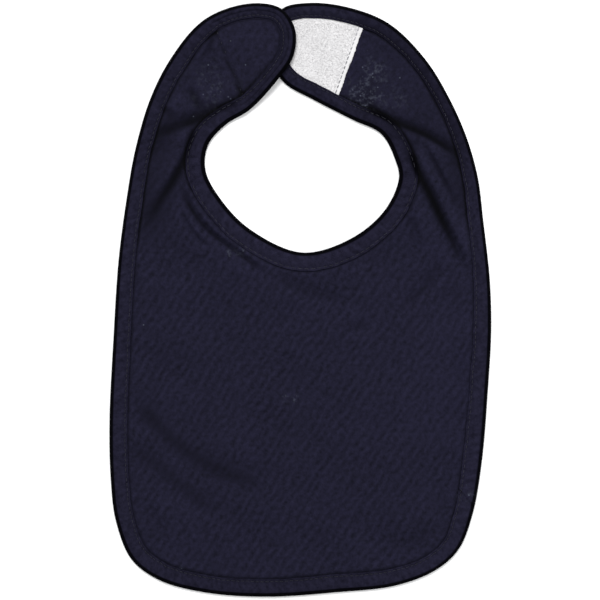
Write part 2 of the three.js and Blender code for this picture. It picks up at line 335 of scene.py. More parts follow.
def folds(points):
    """(ridge, valley) heights of the creases at points, both from zero up."""
    ridge, valley = np.zeros((2, len(points)))
    for line, (_, side, height, depth, width, fade_in, fade_out) in zip(crease_lines, CREASES):
        low, high = line.min(0) - 4 * width, line.max(0) + 4 * width
        near = np.nonzero(((points > low) & (points < high)).all(1))[0]
        if not len(near):
            continue
        index, distance = nearest(points[near], line)
        along = unit(np.gradient(line, axis=0))[index]
        offset = points[near] - line[index]
        beside = side * (along[:, 0] * offset[:, 1] - along[:, 1] * offset[:, 0])
        beyond = np.sqrt(np.maximum(distance**2 - beside**2, 0))
        part = index / (len(line) - 1)
        fade = smooth(part / fade_in) * smooth((1 - part) / fade_out)
        fade = fade * bell(beyond / width)
        across = beside / width
        for place, share, before, after in RIDGES:
            spread = np.where(across < place, before, after)
            ridge[near] += share * height * fade * bell((across - place) / spread)
        valley[near] += depth * fade * bell(across / VALLEY_SPREAD)
    return ridge, valley


def lap(points):
    """How far the left strap is held up by the right tab that it laps over."""
    index, distance = nearest(points, station_point[is_right])
    inside = ((points - station_point[is_right][index]) * station_inward[is_right][index]).sum(1) > 0
    outside = np.where(inside, 0.0, distance)
    return LAP_HEIGHT * (1 - smooth(outside / LAP_RUN))


def hook_rise(points):
    """1 where the hook tape lies under the left tab, easing to 0 on the strap before it."""
    return smooth(1 + ahead(points, HOOK_LINE) / HOOK_CLIMB)


def hook_seam(points):
    """Near 1 along the line where the hook tape is sewn to the left tab, fading out beside it."""
    firm = 0.8 + waves(points, HOOK_SEAM_WAVES, 0.3, SEED + 4)
    return firm * bell((ahead(points, HOOK_LINE) - HOOK_STITCH_INSET) / 1.25)


def stack(points, inset, part):
    """Heights of the back ply's underside, the front ply's underside and the top of what the binding's
    upper flange lies on, at points inset from the folded edge of a part: body, left or right."""
    ridge, valley = folds(points)
    free = 0.4 + 0.6 * smooth((inset - 5.0) / 7.0)  # the binding holds the creases down
    inside = smooth((inset - BINDING_WIDTH) / EDGE_SAG)
    back = TABLE_GAP + EDGE_LIFT * (1 - inside) + 0.5 * ridge * free
    back = back + inside * (0.5 + waves(points, BACK_WAVES, 0.42, SEED))
    back = np.maximum(back, TABLE_GAP)
    loose = 1.0  # less where a tape is sewn through both plies
    if part == "left":
        hook = hook_rise(points)
        back = back + lap(points) + (TAPE + 2 * GAP + HOOK_LENGTH) * hook
        loose = 1 - 0.8 * hook
    if part == "right":
        loose = 1 - 0.8 * smooth((ahead(points, LOOP_LINE) + 1.0) / 3.0)
    # The front ply's slack over the back one.
    slack = 0.55 + waves(points, SLACK_WAVES, 0.45, SEED + 1)
    slack = slack + waves(points, RIPPLE_WAVES, 0.09, SEED + 2)
    pucker = 0.35 + waves(points, PUCKER_WAVES, 0.16, SEED + 3)
    slack = slack + pucker * bell((inset - PUCKER_INSET) / 2.0)
    slack = slack * loose + 0.6 * ridge - valley
    if part == "left":
        slack = slack + 0.5 * hook - 1.4 * hook_seam(points)
    slack = 0.04 + above_zero(slack, 0.12) * smooth((inset - 8.9) / 2.1)
    front = back + CLOTH + slack
    top = front + CLOTH
    if part == "right":
        tape = smooth(1 + ahead(points, LOOP_LINE) / TAPE_CLIMB)
        tape = tape * smooth((inset - PATCH_INSET + 1.0) / 2.0)
        top = top + (TAPE + 0.05) * tape
    return back, front, top


def painted_shading_at(points, inset, hook_tab):
    """Painted light and shade on the cloth: above 0 for painted highlights on ridges and a pool of painted
    light, below 0 for painted shade in creases, in the groove beside the binding, over the buckled straps
    and along the hook tape's seam.
    """
    ridge, valley = folds(points)
    painted_groove_shade = bell((inset - GROOVE_INSET) / 0.75)
    buckled = nearest(points, np.vstack(crease_lines[:MAIN_CREASES]))[1]
    x, y = points.T
    shoulder = smooth((y - 20.0) / 35.0)
    left_strap = smooth((-40.0 - x) / 15.0)
    right_strap = smooth((x - 25.0) / 20.0)
    fading_and_painted_light = round_place(points, PAINTED_LIGHT_POINT, PAINTED_LIGHT_REACH)
    # Painted highlights on ridges, painted shade in creases and in the groove beside the binding, and a pool
    # of painted light.
    painted_shading = 0.20 * ridge - 0.22 * valley - 0.75 * painted_groove_shade + 0.32 * fading_and_painted_light
    # Painted shade over the straps, deepest near the creases where they buckle.
    painted_strap_shade = 0.50 * bell(buckled / 14.0) + 0.22 * left_strap + 0.17 * right_strap
    painted_shading = painted_shading - painted_strap_shade * shoulder
    # Painted shade along the line where the hook tape is sewn to the left tab.
    return painted_shading - 0.75 * hook_tab * hook_seam(points)


def lint_at(points):
    """How much lint clings to the cloth, from 0 to 1."""
    amount = np.full(len(points), 0.001)
    for x, y, reach, share in LINT:
        amount = np.maximum(amount, share * round_place(points + middle, (x, y), reach))
    return amount


# ---------------- meshes
def placed(name, data):
    """A new object in the scene, of a mesh, a lamp or a camera."""
    thing = bpy.data.objects.new(name, data)
    bpy.context.scene.collection.objects.link(thing)
    return thing


def make_mesh(name, points, faces, uv, normals=None, slots=(), painted_shading=None, lint=None):
    """A mesh object from points in millimetres. uv, in metres on the flat cloth, the painted light and
    shade, and lint are per point, and slots gives each face's material index."""
    mesh = bpy.data.meshes.new(name)
    mesh.from_pydata((points * MM).tolist(), [], faces)
    mesh.polygons.foreach_set("use_smooth", [True] * len(mesh.polygons))
    if len(slots):
        mesh.polygons.foreach_set("material_index", slots)
    corners = np.empty(len(mesh.loops), dtype=np.int32)
    mesh.loops.foreach_get("vertex_index", corners)
    mesh.uv_layers.new(name="cloth").data.foreach_set("uv", np.float32(uv)[corners].ravel())
    for key, values in (("painted_shading", painted_shading), ("lint", lint)):
        if values is not None:
            mesh.attributes.new(key, "FLOAT", "POINT").data.foreach_set("value", np.float32(values))
    mesh.update()
    if normals is not None:
        mesh.normals_split_custom_set_from_vertices(normals.tolist())
    return placed(name, mesh)


def joined_mesh(parts):
    """One mesh from several (points, faces, uv, material index)."""
    points, faces, uvs, slots, start = [], [], [], [], 0
    for p, f, uv, slot_index in parts:
        points.append(p)
        faces += [[v + start for v in face] for face in f]
        uvs.append(uv)
        slots += [slot_index] * len(f)
        start += len(p)
    return make_mesh("joined", np.vstack(points), faces, np.vstack(uvs), slots=slots)


def in_polygon(points, polygon, chunk=4000):
    """True where points are inside a closed polygon."""
    result = np.zeros(len(points), bool)
    (ax, ay), (bx, by) = polygon.T, np.roll(polygon, -1, 0).T
    rise = np.where(by == ay, 1, by - ay)
    for start in range(0, len(points), chunk):
        x, y = np.split(points[start:start + chunk], 2, axis=1)
        spans = (ay > y) != (by > y)
        cross = ax + (y - ay) / rise * (bx - ax)
        result[start:start + chunk] = ((spans & (x < cross)).sum(1) % 2) == 1
    return result


def grid_inside(polygon, spacing, clearance=0.6):
    """A hexagonal grid of points inside a polygon, clear of its edge."""
    low, high = polygon.min(0), polygon.max(0)
    rows = np.arange(low[1], high[1], spacing * math.sqrt(3) / 2)
    columns = np.arange(low[0], high[0], spacing)
    x, y = np.meshgrid(columns, rows)
    x[1::2] += spacing / 2
    points = np.stack([x.ravel(), y.ravel()], 1)
    points = points[in_polygon(points, polygon)]
    return points[nearest(points, polygon)[1] > clearance * spacing]


def triangles_of(outline, inner):
    """Triangulates the inside of an outline, with points inside it, as (points, triangles)."""
    every = [Vector(p) for p in np.vstack([outline, inner])]
    count = len(outline)
    edges = [(i, (i + 1) % count) for i in range(count)]
    points, _, faces, *_ = delaunay_2d_cdt(every, edges, [list(range(count))], 1, 1e-5)
    return np.array([tuple(p) for p in points]), np.array([tuple(f) for f in faces])


def thin_solid(points, triangles, count, low, high):
    """Points and faces of a closed sheet between two heights, over triangulated points of which the
    first count are its outline, anticlockwise."""
    n = len(points)
    top, bottom = lifted(points, high), lifted(points, low)
    faces = triangles.tolist() + (triangles[:, ::-1] + n).tolist()
    for i in range(count):
        j = (i + 1) % count
        faces.append([i, i + n, j + n, j])
    return np.vstack([top, bottom]), faces


def tube(path, radius, sides, up):
    """Points of a closed tube round each of many paths: path is (tubes, steps, 3), radius (steps,)
    or (tubes, steps), and up a direction that isn't along the path."""
    along = unit(np.gradient(path, axis=1))
    across = unit(np.cross(along, up))
    other = np.cross(across, along)
    angle = (np.arange(sides) * math.tau / sides)[:, None]
    around = across[:, :, None] * np.cos(angle) + other[:, :, None] * np.sin(angle)
    radius = np.broadcast_to(radius, path.shape[:2])
    return path[:, :, None] + around * radius[:, :, None, None]


def tube_faces(tubes, steps, sides):
    """Faces of tubes whose points tube() gave, with closed ends."""
    size = steps * sides
    one = []
    for i in range(0, size - sides, sides):
        for j in range(sides):
            k = (j + 1) % sides
            one.append([i + j, i + sides + j, i + sides + k, i + k])
    one += [list(range(sides)), list(range(size - sides, size))[::-1]]
    return [[v + t * size for v in face] for t in range(tubes) for face in one]


# ---------------- the four parts of cloth
def run(first, last, step=1):
    """Station numbers from first to last, past the start of the loop where last is before first."""
    span = (last - first) % STATIONS
    return [(first + k) % STATIONS for k in list(range(0, span, step)) + [span]]


SEAM_SPACING = 1.5
left_seam = between(ply_edge[LEFT_INNER], ply_edge[LEFT_OUTER], SEAM_SPACING)
right_seam = between(ply_edge[RIGHT_OUTER], ply_edge[RIGHT_INNER], SEAM_SPACING)
peel_seam = between(ply_edge[PEEL_OUTER], ply_edge[PEEL_INNER], SEAM_SPACING)
OWN_STATIONS = {"body": np.ones(STATIONS, bool), "left": ~is_right, "right": is_right}
# Each part's ply outline, and which height it lies at.
OUTLINES = {
    "body": ("body", [
        ply_edge[run(LEFT_OUTER, RIGHT_OUTER, 2)], right_seam,
        ply_edge[run(RIGHT_INNER, LEFT_INNER, 2)], left_seam,
    ]),
    "left_strap": ("left", [
        ply_edge[run(PEEL_OUTER, LEFT_OUTER, 2)], left_seam[::-1],
        ply_edge[run(LEFT_INNER, PEEL_INNER, 2)], peel_seam[::-1],
    ]),
    "left_tab": ("left", [ply_edge[run(PEEL_INNER, PEEL_OUTER, 2)], peel_seam]),
    "right_strap": ("right", [ply_edge[run(RIGHT_OUTER, RIGHT_INNER, 2)], right_seam[::-1]]),
}
LEFT_RUN = run(LEFT_INNER, LEFT_OUTER)
RIGHT_RUN = run(RIGHT_OUTER, RIGHT_INNER)
# Each binding run's stations, and the part it belongs to.
BINDINGS = {
    "body_outer": ("body", run(LEFT_OUTER, RIGHT_OUTER)),
    "body_neck": ("body", run(RIGHT_INNER, LEFT_INNER)),
    "left_strap_outer": ("left_strap", run(PEEL_OUTER, LEFT_OUTER)),
    "left_strap_inner": ("left_strap", run(LEFT_INNER, PEEL_INNER)),
    "left_tab": ("left_tab", run(PEEL_INNER, PEEL_OUTER)),
    "right_strap": ("right_strap", RIGHT_RUN),
}
made = {}  # every piece, by the name of the CAD node that it stands for
PIECE_ENDING = {
    "jersey": "cloth", "binding_cloth": "strip", "navy_thread": "threads", "grey_thread": "threads",
    "loop_tape": "tape", "hook_tape": "tape",
}


def inset_of(points, part):
    """How far points are in from the part's folded edge, as if the binding were BINDING_WIDTH wide
    everywhere."""
    own = OWN_STATIONS[part]
    index, distance = nearest(points, station_point[own])
    extra = station_width[own][index] - BINDING_WIDTH
    return distance - extra * (1 - smooth((distance - PUCKER_INSET) / 6.0))


def stack_at(points, part):
    return stack(points, inset_of(points, part), part)


def keep(thing, node, part, slot_name):
    """Stands a piece in for a CAD node, and notes the part that it belongs to."""
    thing.name = f"{node}_{PIECE_ENDING[slot_name]}"
    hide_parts(node)
    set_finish(thing, slot_name)
    made[node] = (thing, part)


def surface_normals(surfaces):
    """Smooth normals of triangulated surfaces, shared where their points meet at a seam."""
    points = np.vstack([p for p, _ in surfaces])
    _, key = np.unique(np.round(points, 3), axis=0, return_inverse=True)
    key = key.ravel()
    total = np.zeros((key.max() + 1, 3))
    start = 0
    for p, triangles in surfaces:
        a, b, c = (p[triangles[:, k]] for k in range(3))
        area = np.cross(b - a, c - a)
        for k in range(3):
            np.add.at(total, key[start + triangles[:, k]], area)
        start += len(p)
    every = unit(total)[key]
    return np.split(every, np.cumsum([len(p) for p, _ in surfaces])[:-1])


FINE_REACH = 8.0  # the mesh is fine this near to a crease
FINE_BAND = (8.0, 12.5)  # and this far in from the folded edge


def make_plies(which, coarse, fine):
    """The front or back plies of all four parts, from points coarse apart, or fine apart where the
    cloth is creased or puckered."""
    flats = []
    for name, (part, runs) in OUTLINES.items():
        outline = np.vstack(runs)
        inner = grid_inside(outline, coarse)
        if fine:
            detail = grid_inside(outline, fine)
            inset = inset_of(detail, part)
            creased = nearest(detail, np.vstack(crease_lines))[1] < FINE_REACH
            detail = detail[creased | ((inset > FINE_BAND[0]) & (inset < FINE_BAND[1]))]
            inner = inner[nearest(inner, detail)[1] > 0.7 * fine]
            inner = np.vstack([detail, inner])
        points, triangles = triangles_of(outline, inner)
        back, front, _ = stack_at(points, part)
        low = back if which == "back" else front
        flats.append((name, points, triangles, len(outline), low))
    surfaces = [(lifted(p, low), t) for _, p, t, _, low in flats]
    for flat, normal in zip(flats, surface_normals(surfaces)):
        name, points, triangles, count, low = flat
        solid, faces = thin_solid(points, triangles, count, low, low + CLOTH)
        uv = np.vstack([points, points]) * MM
        inset = inset_of(points, OUTLINES[name][0])
        # Painted light and shade, carried on the mesh to the cloth's colour.
        painted_shading = painted_shading_at(points, inset, name == "left_tab")
        lint = lint_at(points) if which == "front" else np.full(len(points), 0.003)
        thing = make_mesh(
            "ply", solid, faces, uv, np.vstack([normal, -normal]),
            painted_shading=np.tile(painted_shading, 2), lint=np.tile(lint, 2),
        )
        keep(thing, f"{name}_{which}_ply", name, "jersey")


make_plies("front", coarse=2.3, fine=1.1)
make_plies("back", coarse=3.0, fine=None)


# ---------------- the binding
# The section of the folded strip, from its upper inner edge round the roll to its lower inner edge:
# distance in from the folded edge, share of the way up the plies, height over that, and puffiness.
SECTION = np.array([
    (9.00, 1, 0.06, 0.00), (9.15, 1, 0.32, 0.00), (8.98, 1, 0.56, 0.05), (8.60, 1, 0.64, 0.12),
    (8.15, 1, 0.61, 0.06), (7.70, 1, 0.54, 0.00), (7.20, 1, 0.56, 0.10), (6.60, 1, 0.56, 0.25),
    (6.00, 1, 0.56, 0.38), (5.40, 1, 0.56, 0.48), (4.85, 1, 0.56, 0.56), (4.30, 1, 0.56, 0.63),
    (3.75, 1, 0.56, 0.68), (3.10, 1, 0.56, 0.69), (2.30, 1, 0.56, 0.60), (1.50, 1, 0.50, 0.38),
    (0.80, 1, 0.25, 0.12), (0.20, 0.75, 0.0, 0.0), (0.00, 0.40, 0.0, 0.0), (0.20, 0.10, 0.0, 0.0),
    (0.75, 0, -0.38, 0.0), (1.80, 0, -0.53, 0.0), (5.00, 0, -0.54, 0.0), (8.60, 0, -0.54, 0.0),
    (9.00, 0, -0.30, 0.0), (9.00, 0, -0.05, 0.0),
])
UNDER_ROW = ((22, 0.25), (23, 0.75))  # the lower stitches lie between these points of the section
STITCH_POINT = 5  # where the section dips under the stitching
POINT_INSET, POINT_SHARE, POINT_OVER, POINT_PUFF = SECTION.T
UPPER = POINT_SHARE == 1
LOWER = POINT_SHARE == 0
TAB_GROOVE_INSET = 4.6  # to a groove along the left tab's binding


def ripples(seed, shortest, longest, count=9):
    """An irregular ripple round the whole loop of binding, about plus or minus one."""
    random = np.random.default_rng(seed)
    total = np.zeros(STATIONS)
    for wavelength in np.geomspace(shortest, longest, count):
        turns = round(EDGE_LENGTH / wavelength)
        total += np.sin(math.tau * turns * station_s / EDGE_LENGTH + random.uniform(0, math.tau))
    return total / math.sqrt(count / 2) * 0.6


station_part = np.full(STATIONS, "body", "U5")
station_part[LEFT_RUN] = "left"
station_part[RIGHT_RUN] = "right"
left_region = station_point[LEFT_RUN]
half_way = station_point + station_inward * BINDING_WIDTH / 2
under_left = in_polygon(half_way, left_region) & (station_part == "right")
covered = smooth(nearest(station_point, left_region)[1] / 6.0) * under_left
on_tab = (station_part == "left") * smooth((ahead(station_point, HOOK_LINE) + 2.0) / 8.0)

section_inset = POINT_INSET - 0.6 * on_tab[:, None] * (POINT_INSET > BINDING_WIDTH / 2)
section_inset = section_inset + 0.16 * ripples(SEED + 10, 9, 60)[:, None] * (POINT_INSET > 6.0)
widened = (station_width - BINDING_WIDTH)[:, None] * smooth(POINT_INSET / 7.0)
ring_inset = section_inset + widened


def places_at(insets):
    """Places on the table at insets (stations, points) in from the folded edge."""
    return station_point[:, None] + station_inward[:, None] * insets[..., None]


ring_flat = places_at(ring_inset)


def ring_heights():
    """Heights of the plies' underside and top, and depths of the creases, all round the strip."""
    low, high, valley = np.empty((3, *ring_inset.shape))
    for part in ("body", "left", "right"):
        own = station_part == part
        points = ring_flat[own].reshape(-1, 2)
        back, _, top = stack(points, np.maximum(section_inset[own].ravel(), PLY_INSET), part)
        if part == "left":
            back = back - (TAPE + 2 * GAP) * hook_rise(points)
        for ring_values, values in ((low, back), (high, top), (valley, folds(points)[1])):
            ring_values[own] = values.reshape(-1, len(SECTION))
    return low, high, valley


low, high, ring_valley = ring_heights()
fullness = (1 + 0.4 * ripples(SEED + 11, 6, 45)) * (1 - 0.75 * covered)
puffed = POINT_PUFF * fullness[:, None]
ring_z = low + (high - low) * POINT_SHARE + POINT_OVER + puffed * (1 - 0.4 * np.tanh(ring_valley))
phase = np.arange(STATIONS) % STATIONS_PER_STITCH / STATIONS_PER_STITCH
dip = 0.5 + 0.5 * np.cos(math.tau * phase)  # 1 in the middle of each stitch
near_stitch = bell((POINT_INSET - STITCH_INSET) / 0.75) * UPPER
ring_z = ring_z - 0.16 * dip[:, None] * near_stitch
tab_groove = on_tab[:, None] * bell((POINT_INSET - TAB_GROOVE_INSET) / 0.75) * UPPER
ring_z = ring_z - 0.55 * tab_groove

# The two ends of the strip lap over each other on the diagonal, low on the right side.
join = station_s[nearest(np.array([JOIN_POINT]) - middle, station_point)[0]]
past = ((station_s - join + EDGE_LENGTH / 2) % EDGE_LENGTH - EDGE_LENGTH / 2)[:, None]
past_end = past - JOIN_SLANT * (ring_inset - BINDING_WIDTH / 2)
joined = smooth(past_end / 0.9) * smooth((JOIN_LAP - past) / 8.0)
ring_z = ring_z + 0.4 * joined * UPPER * smooth(ring_inset / 1.5)
outer = lifted(ring_flat, ring_z)

inner_inset = np.clip(section_inset, 1.0, 8.6) + widened
inner_inset[:, ~(UPPER | LOWER)] = (0.66, 0.52, 0.66)
inner_z = np.where(UPPER, np.maximum(high + GAP, ring_z - CLOTH), ring_z)
inner_z = np.where(LOWER, low - GAP, inner_z)
inner = lifted(places_at(inner_inset), inner_z)
ring = np.concatenate([outer, inner[:, ::-1]], 1)
RING = ring.shape[1]
ring_normal = unit(np.cross(
    np.roll(ring, -1, 1) - np.roll(ring, 1, 1),
    np.roll(ring, -1, 0) - np.roll(ring, 1, 0),
))


def binding_painted_shading():
    """Painted light and shade all round the strip, as for the plies: painted shade on the rolled edge, at
    the stitches, at the lip, in the left tab's groove, in creases and along the lapped end's cut, painted
    light where it puffs up, and lighter and darker stretches along the loop.
    """
    painted_edge_shade = 1 - smooth((POINT_INSET - 0.9) / 1.6)
    painted_stitch_shade = bell((POINT_INSET - STITCH_INSET) / 0.5) * UPPER
    painted_lip_shade = bell((POINT_INSET - 9.1) / 0.15)
    painted_shading = np.zeros(ring.shape[:2])
    # Painted shade on the rolled edge, at the stitches and the lip, in the left tab's groove, in creases and
    # along the lapped end's cut, and painted light where the strip puffs up.
    painted_shading[:, :len(SECTION)] = (
        0.35 * puffed - 2.2 * painted_edge_shade - 0.25 * painted_stitch_shade - 0.3 * painted_lip_shade - 0.5 * tab_groove
        - 0.3 * ring_valley - 1.1 * bell(past_end / 0.8) * UPPER
    )
    x, y = station_point.T
    low_side = smooth(-y / 110.0) * smooth(x / 60.0)
    high_up = smooth((y - 50.0) / 45.0)
    right_shoulder = high_up * smooth((x - 20.0) / 20.0)
    hem = smooth((-y - 155.0) / 10.0)
    neck = round_place(station_point, NECK_POINT, 20.0)
    # Lighter low down and round the neck, darker high up, at the right shoulder and at the hem.
    along = 0.25 * low_side - 0.30 * high_up - 0.26 * right_shoulder - 0.2 * hem + 0.4 * neck
    return painted_shading + along[:, None]


ring_painted_shading = binding_painted_shading()
around = np.concatenate([[0], np.cumsum(np.linalg.norm(np.diff(SECTION[:, [0, 2]], axis=0), axis=1))])
around = np.concatenate([around, around[::-1]])


def make_binding(stations):
    count = len(stations)
    faces = []
    for i in range(count - 1):
        for j in range(RING):
            k = (j + 1) % RING
            faces.append([i * RING + j, i * RING + k, (i + 1) * RING + k, (i + 1) * RING + j])
    last = (count - 1) * RING
    for j in range(RING // 2 - 1):
        k = RING - 1 - j
        faces.append([last + j, last + j + 1, last + k - 1, last + k])
        faces.append([k, k - 1, j + 1, j])
    s = (station_s[stations[0]] + np.arange(count) * SPACING)[:, None] + np.zeros(RING)
    uv = np.stack([s, around + np.zeros((count, 1))], -1).reshape(-1, 2) * MM
    points = ring[stations].reshape(-1, 3)
    return make_mesh(
        "binding", points, faces, uv, ring_normal[stations].reshape(-1, 3),
        painted_shading=ring_painted_shading[stations].ravel(), lint=0.5 * lint_at(points[:, :2]),
    )


for name, (part, stations) in BINDINGS.items():
    keep(make_binding(stations), f"{name}_binding", part, "binding_cloth")


# ---------------- stitching
STITCH_RADIUS = 0.16
PATCH_STITCH_RADIUS = 0.22
STITCH_STEPS = np.array([-0.50, -0.40, -0.18, 0.0, 0.18, 0.40, 0.50])  # share of a stitch's length
STITCH_RISE = np.array([-0.26, -0.03, 0.10, 0.14, 0.10, -0.03, -0.26])  # height over the cloth
STITCH_SHAPE = np.array([0.45, 0.85, 1.0, 1.0, 1.0, 0.85, 0.45])  # share of its radius
STITCH_LENGTH = 2.35
STITCH_SLANT = 0.11
STITCH_SIDES = 7
UP = np.array([0.0, 0.0, 1.0])


def loop_at(values, position):
    """Values at stations, read at a fractional station number round the loop."""
    first = np.floor(position).astype(int)
    part = (position - first)[..., None]
    return values[first % STATIONS] * (1 - part) + values[(first + 1) % STATIONS] * part


def stitch_row(path, up, radius):
    """Short threads: path is (stitches, steps, 3) on the cloth, and up the way out of it."""
    count, steps, _ = path.shape
    random = np.random.default_rng(SEED + count)
    rise = STITCH_RISE * (1 + 0.25 * random.standard_normal((count, 1)).clip(-1.5, 1.5))
    along = unit(path[:, -1] - path[:, 0])
    across = unit(np.cross(along, up))
    slant = STITCH_SLANT * (1 + 0.4 * random.standard_normal((count, 1)))
    slant = slant * np.linspace(-1, 1, steps)
    path = path + rise[..., None] * up + slant[..., None] * across[:, None, :]
    points = tube(path, radius * STITCH_SHAPE, STITCH_SIDES, up)
    uv = np.zeros((count, steps, STITCH_SIDES, 2))
    uv[..., 0] = (STITCH_STEPS * STITCH_LENGTH)[:, None] + 4.0 * np.arange(count)[:, None, None]
    uv[..., 1] = np.arange(STITCH_SIDES) * math.tau * radius / STITCH_SIDES
    return points.reshape(-1, 3), tube_faces(count, steps, STITCH_SIDES), uv.reshape(-1, 2) * MM, 0


for name, (part, stations) in BINDINGS.items():
    centres = np.array([k for k, i in enumerate(stations) if i % STATIONS_PER_STITCH == 0])
    centres = centres[(centres > 1) & (centres < len(stations) - 2)]
    position = stations[0] + centres[:, None] + STITCH_STEPS * STITCH_LENGTH / SPACING
    under = sum(ring[:, point] * weight for point, weight in UNDER_ROW)
    top = stitch_row(loop_at(ring[:, STITCH_POINT], position), UP, STITCH_RADIUS)
    bottom = stitch_row(loop_at(under, position) + 0.12 * UP, -UP, STITCH_RADIUS)
    keep(joined_mesh([top, bottom]), f"{name}_stitching", part, "navy_thread")


# ---------------- hook and loop tapes
CUT_SPACING = 0.8
TAPE_SPACING = 0.9
LOOP_RADIUS = 0.065
LOOP_HALF_WIDTHS = (0.35, 0.62)  # from the narrowest to the widest
LOOP_LEAN = 0.35
HOOK_SPACING = 1.3  # along a row of hooks
HOOK_ROW_SPACING = 1.7
# Along a hook: how far sideways, how far down before it is scaled to its length, and its radius.
HOOK_CURL = np.array([
    (0, 0, 0.09), (0, 0.16, 0.08), (0.02, 0.30, 0.08), (0.11, 0.42, 0.08), (0.24, 0.41, 0.07),
    (0.30, 0.31, 0.05),
])


def patch_outline(part, line):
    """The outline of a tape, from under the binding to its cut edge, and the cut edge's two ends."""
    stations = np.array(LEFT_RUN if part == "left" else RIGHT_RUN)
    tucked = station_point[stations] + station_inward[stations] * PATCH_INSET
    tucked = tucked[ahead(tucked, line) > 0][::2]
    a, b = tucked[-1], tucked[0]
    cut = between(a, b, CUT_SPACING)
    ragged = np.random.default_rng(SEED + 20).standard_normal(len(cut)) * 0.13
    ragged += waves(cut, CUT_WAVES, 0.28, SEED + 22)
    return np.vstack([tucked, cut + ragged[:, None] * line[1]]), a, b


def sewn_in(points, a, b, inset):
    """How far points are from a tape's row of stitches, inset from the line between its corners."""
    along = unit(b - a)
    offset = points - a
    return np.abs(along[0] * offset[..., 1] - along[1] * offset[..., 0]) - inset


def tape_base(part, line):
    outline, a, b = patch_outline(part, line)
    points, triangles = triangles_of(outline, grid_inside(outline, TAPE_SPACING))
    back, front, _ = stack_at(points, part)
    if part == "left":
        low = back - GAP - TAPE
        high = back - GAP
    else:
        low = front + CLOTH + GAP
        high = low + TAPE + waves(points, TAPE_WAVES, 0.05, SEED + 21)
        high = high - 0.25 * bell(sewn_in(points, a, b, LOOP_STITCH_INSET) / 0.8)
    solid, faces = thin_solid(points, triangles, len(outline), low, high)
    return solid, faces, np.vstack([points, points]) * MM, outline, a, b


def loop_pile(outline, a, b):
    """Fine raised loops all over the loop tape inside its stitching, leaning different ways."""
    random = np.random.default_rng(SEED + 30)
    roots = grid_inside(outline, LOOP_SPACING, 0.5)
    roots = roots + random.uniform(-0.45, 0.45, roots.shape) * LOOP_SPACING
    clear = sewn_in(roots, a, b, LOOP_STITCH_INSET) > 0.7
    roots = roots[(inset_of(roots, "right") > BINDING_WIDTH - 0.5) & clear]
    count = len(roots)
    _, front, _ = stack_at(roots, "right")
    base = lifted(roots, front + CLOTH + GAP + TAPE - 0.04)
    turn = random.uniform(0, math.tau, count)
    lean = random.uniform(0, math.tau, count)
    width = random.uniform(*LOOP_HALF_WIDTHS, count)
    height = random.uniform(0.5, 1.0, count) * LOOP_HEIGHT
    foot = np.column_stack([np.cos(turn) * width, np.sin(turn) * width, np.zeros(count)])
    top = np.column_stack([np.cos(lean) * LOOP_LEAN, np.sin(lean) * LOOP_LEAN, height])
    arc = np.linspace(0, math.pi, 6)[:, None]
    path = base[:, None] + foot[:, None] * np.cos(arc) + top[:, None] * np.sin(arc)
    points = tube(path, LOOP_RADIUS, 4, UP + 0.01).reshape(-1, 3)
    return points, tube_faces(count, len(arc), 4), points[:, :2] * MM, 1


def hook_rows(outline):
    """Rows of tiny hooks all over the hook tape, facing down."""
    low, high = outline.min(0), outline.max(0)
    (ax, ay) = HOOK_LINE[1]
    reach = np.linalg.norm(high - low)
    steps = (np.arange(-reach, reach, spacing) for spacing in (HOOK_SPACING, HOOK_ROW_SPACING))
    u, v = np.meshgrid(*steps)
    u[1::2] += HOOK_SPACING / 2
    centre = (low + high) / 2
    roots = centre + u.reshape(-1, 1) * np.array([ax, ay]) + v.reshape(-1, 1) * np.array([-ay, ax])
    roots = roots[in_polygon(roots, outline)]
    roots = roots[nearest(roots, outline)[1] > 1.4]
    count = len(roots)
    back, _, _ = stack_at(roots, "left")
    base = lifted(roots, back - GAP - TAPE + 0.05)
    side = np.where(np.arange(count) % 2, 1.0, -1.0)[:, None, None]
    sideways, down, radius = HOOK_CURL.T
    path = base[:, None] + side * sideways[:, None] * (ax, ay, 0.0)
    path[..., 2] -= down * HOOK_LENGTH / down.max()
    points = tube(path, radius, 5, (-ay, ax, 0.0)).reshape(-1, 3)
    return points, tube_faces(count, len(down), 5), points[:, :2] * MM, 1


def cut_row(part, line, a, b):
    """Stitching beside a tape's cut edge, in the tape's thread where the tape shows, and in the
    bobbin's on the other side."""
    inset = LOOP_STITCH_INSET if part == "right" else HOOK_STITCH_INSET
    start = a + inset * np.array(line[1])
    end = b + inset * np.array(line[1])
    direction = unit(end - start)
    length = np.linalg.norm(end - start)
    count = int((length - 2 * (BINDING_WIDTH - PATCH_INSET)) / STITCH_PITCH)
    middles = length / 2 + (np.arange(count) - (count - 1) / 2) * STITCH_PITCH
    along = middles[:, None] + STITCH_STEPS * STITCH_LENGTH
    flat = start + along[..., None] * direction
    back, front, _ = stack_at(flat.reshape(-1, 2), part)
    over, under, colour = (GAP + TAPE - 0.08, 0.0, 0) if part == "right" else (-0.30, GAP + TAPE, 1)
    top = stitch_row(lifted(flat, front + CLOTH + over), UP, PATCH_STITCH_RADIUS)
    bottom = stitch_row(lifted(flat, back - under), -UP, PATCH_STITCH_RADIUS)
    return joined_mesh([(*top[:3], colour), (*bottom[:3], 1 - colour)])


for name, part, line, moves_with in (
    ("loop_patch", "right", LOOP_LINE, "right_strap"),
    ("hook_patch", "left", HOOK_LINE, "left_tab"),
):
    solid, faces, uv, outline, cut_a, cut_b = tape_base(part, line)
    pile = loop_pile(outline, cut_a, cut_b) if part == "right" else hook_rows(outline)
    keep(joined_mesh([(solid, faces, uv, 0), pile]), name, moves_with, name.replace("patch", "tape"))
    keep(cut_row(part, line, cut_a, cut_b), f"{name}_stitching", moves_with, "grey_thread")


